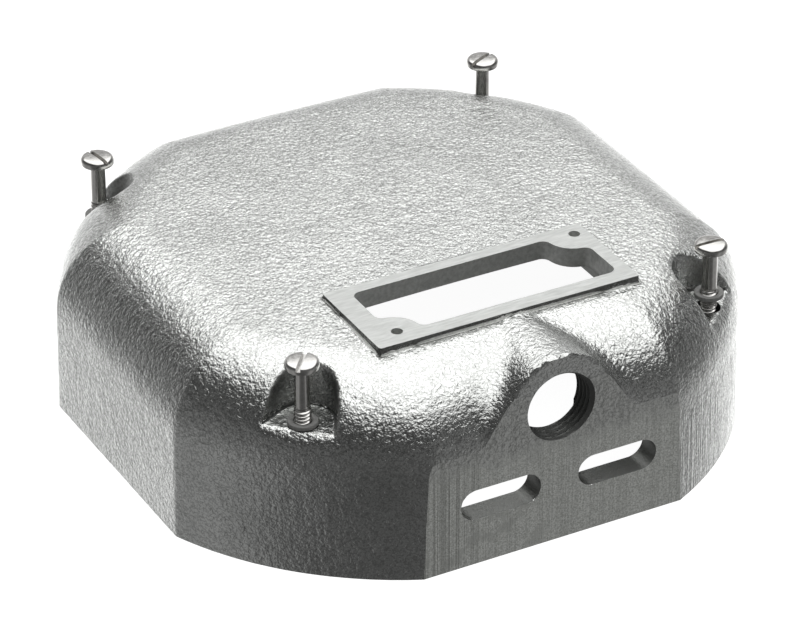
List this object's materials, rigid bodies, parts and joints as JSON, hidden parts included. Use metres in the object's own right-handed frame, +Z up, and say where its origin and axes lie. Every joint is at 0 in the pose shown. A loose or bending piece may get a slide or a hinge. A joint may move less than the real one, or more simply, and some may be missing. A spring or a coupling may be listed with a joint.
{
  "type": "cover panel",
  "caption": "Square domed cast cover with rounded corners, open below, with captive corner screws, a raised window frame, a threaded entry hole and front slots.",
  "frame": {"origin": "centre of the square of corner screws, in the plane of the cover's rim", "axes": "+Z up out of the cover's top, -Y out of the front face with the entry hole, +X to the right seen from the front"},
  "size_m": [0.1794, 0.1782, 0.0624],
  "materials": {
    "cast_aluminium": "as cast with a coarse skin, milled on the front face",
    "screw_metal": "bright plated",
    "washer_fibre": "matt grey"
  },
  "bodies": {
    "casting": {"cover_casting": "cast_aluminium", "washer_front_left": "washer_fibre", "washer_front_right": "washer_fibre", "washer_back_left": "washer_fibre", "washer_back_right": "washer_fibre"},
    "screw_front_left": {"screw_front_left": "screw_metal"},
    "screw_front_right": {"screw_front_right": "screw_metal"},
    "screw_back_left": {"screw_back_left": "screw_metal"},
    "screw_back_right": {"screw_back_right": "screw_metal"}
  },
  "joints": [
    {"name": "screw_slide_front_left", "type": "slide", "parent": "casting", "child": "screw_front_left", "axis": [0, 0, 1], "range_m": [-0.0162, 0]},
    {"name": "screw_slide_front_right", "type": "slide", "parent": "casting", "child": "screw_front_right", "axis": [0, 0, 1], "range_m": [-0.0132, 0]},
    {"name": "screw_slide_back_left", "type": "slide", "parent": "casting", "child": "screw_back_left", "axis": [0, 0, 1], "range_m": [-0.0162, 0]},
    {"name": "screw_slide_back_right", "type": "slide", "parent": "casting", "child": "screw_back_right", "axis": [0, 0, 1], "range_m": [-0.0162, 0]}
  ]
}
